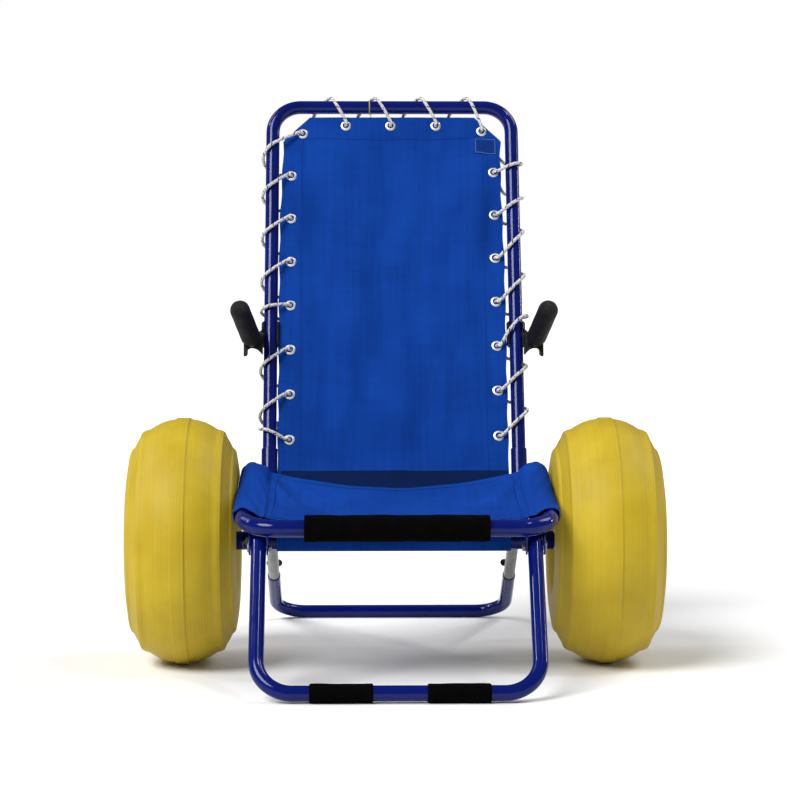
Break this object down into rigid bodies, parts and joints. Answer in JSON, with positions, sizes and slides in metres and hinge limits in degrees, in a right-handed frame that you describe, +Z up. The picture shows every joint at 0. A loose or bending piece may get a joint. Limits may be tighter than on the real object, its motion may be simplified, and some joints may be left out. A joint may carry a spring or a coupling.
{
  "type": "beach cart",
  "caption": "Two-wheeled beach cart that doubles as a low chair: reclined laced back, fabric seat sling, folding front leg hoop and rear support hoop, balloon wheels, grips.",
  "frame": {"origin": "on the ground under the middle of the whole cart's bounding box", "axes": "+X to the sitter's left, +Y to the rear (the support hoop), +Z up; the seat and foot bar face -Y"},
  "size_m": [0.908, 0.9944, 0.9838],
  "materials": {
    "navy_paint": "gloss dark blue powder coat on steel tube",
    "blue_canvas": "matt plain-woven blue canvas with sewn hems",
    "nickel": "bright nickel-plated pressed eyelets",
    "pale_cord": "braided off-white cord with dark flecks",
    "black_foam": "matt closed-cell foam",
    "zinc": "plain zinc plate",
    "yellow_tyre": "semi-matt yellow balloon tyre",
    "black_plastic": "moulded, satin",
    "grip_rubber": "finely textured soft rubber"
  },
  "bodies": {
    "frame": {"axle_tube": "navy_paint", "back_sleeve_left": "navy_paint", "back_sleeve_right": "navy_paint", "back_hoop": "navy_paint", "back_panel": "blue_canvas", "lacing_cord": "pale_cord", "eyelet_01": "nickel", "eyelet_02": "nickel", "eyelet_03": "nickel", "eyelet_04": "nickel", "eyelet_05": "nickel", "eyelet_06": "nickel", "eyelet_07": "nickel", "eyelet_08": "nickel", "eyelet_09": "nickel", "eyelet_10": "nickel", "eyelet_11": "nickel", "eyelet_12": "nickel", "eyelet_13": "nickel", "eyelet_14": "nickel", "eyelet_15": "nickel", "eyelet_16": "nickel", "eyelet_17": "nickel", "eyelet_18": "nickel", "eyelet_19": "nickel", "stub_axle_left": "zinc", "stub_axle_right": "zinc", "hub_cap_left": "black_plastic", "hub_cap_right": "black_plastic", "rear_pivot_bolt_left": "zinc", "rear_pivot_bolt_right": "zinc"},
    "seat": {"seat_rail": "navy_paint", "seat_sling": "blue_canvas", "foam_pad": "black_foam", "rail_end_cap_left": "black_plastic", "rail_end_cap_right": "black_plastic", "seat_pivot_bolt_left": "zinc", "seat_pivot_bolt_right": "zinc", "leg_pivot_bolt_left": "zinc", "leg_pivot_bolt_right": "zinc"},
    "front_leg": {"front_leg_hoop": "navy_paint", "foot_sleeve_1": "black_foam", "foot_sleeve_2": "black_foam"},
    "rear_struts": {"rear_strut_left": "zinc", "rear_strut_right": "zinc"},
    "rear_hoop": {"rear_hoop": "navy_paint"},
    "wheel_left": {"tyre_left": "yellow_tyre", "hub_left": "black_plastic"},
    "wheel_right": {"tyre_right": "yellow_tyre", "hub_right": "black_plastic"},
    "handle_left": {"handle_clip_left": "black_plastic", "grip_left": "grip_rubber"},
    "handle_right": {"handle_clip_right": "black_plastic", "grip_right": "grip_rubber"},
    "pin_left": {"linch_pin_left": "zinc"},
    "ring_left": {"pin_ring_left": "zinc"},
    "pin_right": {"linch_pin_right": "zinc"},
    "ring_right": {"pin_ring_right": "zinc"},
    "lock_screw_left": {"lock_screw_left": "black_plastic"},
    "lock_screw_right": {"lock_screw_right": "black_plastic"}
  },
  "joints": [
    {"name": "seat_fold", "type": "hinge", "parent": "frame", "child": "seat", "pos_m": [0, -0.01836, 0.32372], "axis": [-1, 0, 0], "range_deg": [0, 78]},
    {"name": "front_leg_fold", "type": "hinge", "parent": "seat", "child": "front_leg", "pos_m": [0, -0.3158, 0.225], "axis": [1, 0, 0], "range_deg": [0, 105]},
    {"name": "rear_support_fold", "type": "hinge", "parent": "frame", "child": "rear_struts", "pos_m": [0, 0.00062, 0.28711], "axis": [-1, 0, 0], "range_deg": [0, 75]},
    {"name": "rear_hoop_slide", "type": "slide", "parent": "rear_struts", "child": "rear_hoop", "axis": [0, 0.8696, -0.4937], "range_m": [0, 0.05]},
    {"name": "wheel_left_spin", "type": "hinge", "parent": "frame", "child": "wheel_left", "pos_m": [-0.36, -0.0678, 0.21], "axis": [1, 0, 0], "continuous": true},
    {"name": "wheel_right_spin", "type": "hinge", "parent": "frame", "child": "wheel_right", "pos_m": [0.36, -0.0678, 0.21], "axis": [1, 0, 0], "continuous": true},
    {"name": "handle_left_swivel", "type": "hinge", "parent": "frame", "child": "handle_left", "pos_m": [-0.216, 0.08332, 0.55757], "axis": [0, 0.3987, 0.9171], "range_deg": [0, 25]},
    {"name": "handle_right_swivel", "type": "hinge", "parent": "frame", "child": "handle_right", "pos_m": [0.216, 0.08332, 0.55757], "axis": [0, -0.3987, -0.9171], "range_deg": [0, 25]},
    {"name": "linch_pin_left_pull", "type": "slide", "parent": "frame", "child": "pin_left", "axis": [0, -1, 0], "range_m": [0, 0.045]},
    {"name": "pin_ring_left_swing", "type": "hinge", "parent": "pin_left", "child": "ring_left", "pos_m": [-0.252, -0.0938, 0.213], "axis": [-1, 0, 0], "range_deg": [-20, 90]},
    {"name": "linch_pin_right_pull", "type": "slide", "parent": "frame", "child": "pin_right", "axis": [0, -1, 0], "range_m": [0, 0.045]},
    {"name": "pin_ring_right_swing", "type": "hinge", "parent": "pin_right", "child": "ring_right", "pos_m": [0.252, -0.0938, 0.213], "axis": [-1, 0, 0], "range_deg": [-20, 90]},
    {"name": "lock_screw_left_turn", "type": "hinge", "parent": "rear_hoop", "child": "lock_screw_left", "pos_m": [-0.219, 0.33736, 0.09593], "axis": [0, 0.4937, 0.8696], "continuous": true},
    {"name": "lock_screw_right_turn", "type": "hinge", "parent": "rear_hoop", "child": "lock_screw_right", "pos_m": [0.219, 0.33736, 0.09593], "axis": [0, 0.4937, 0.8696], "continuous": true}
  ]
}
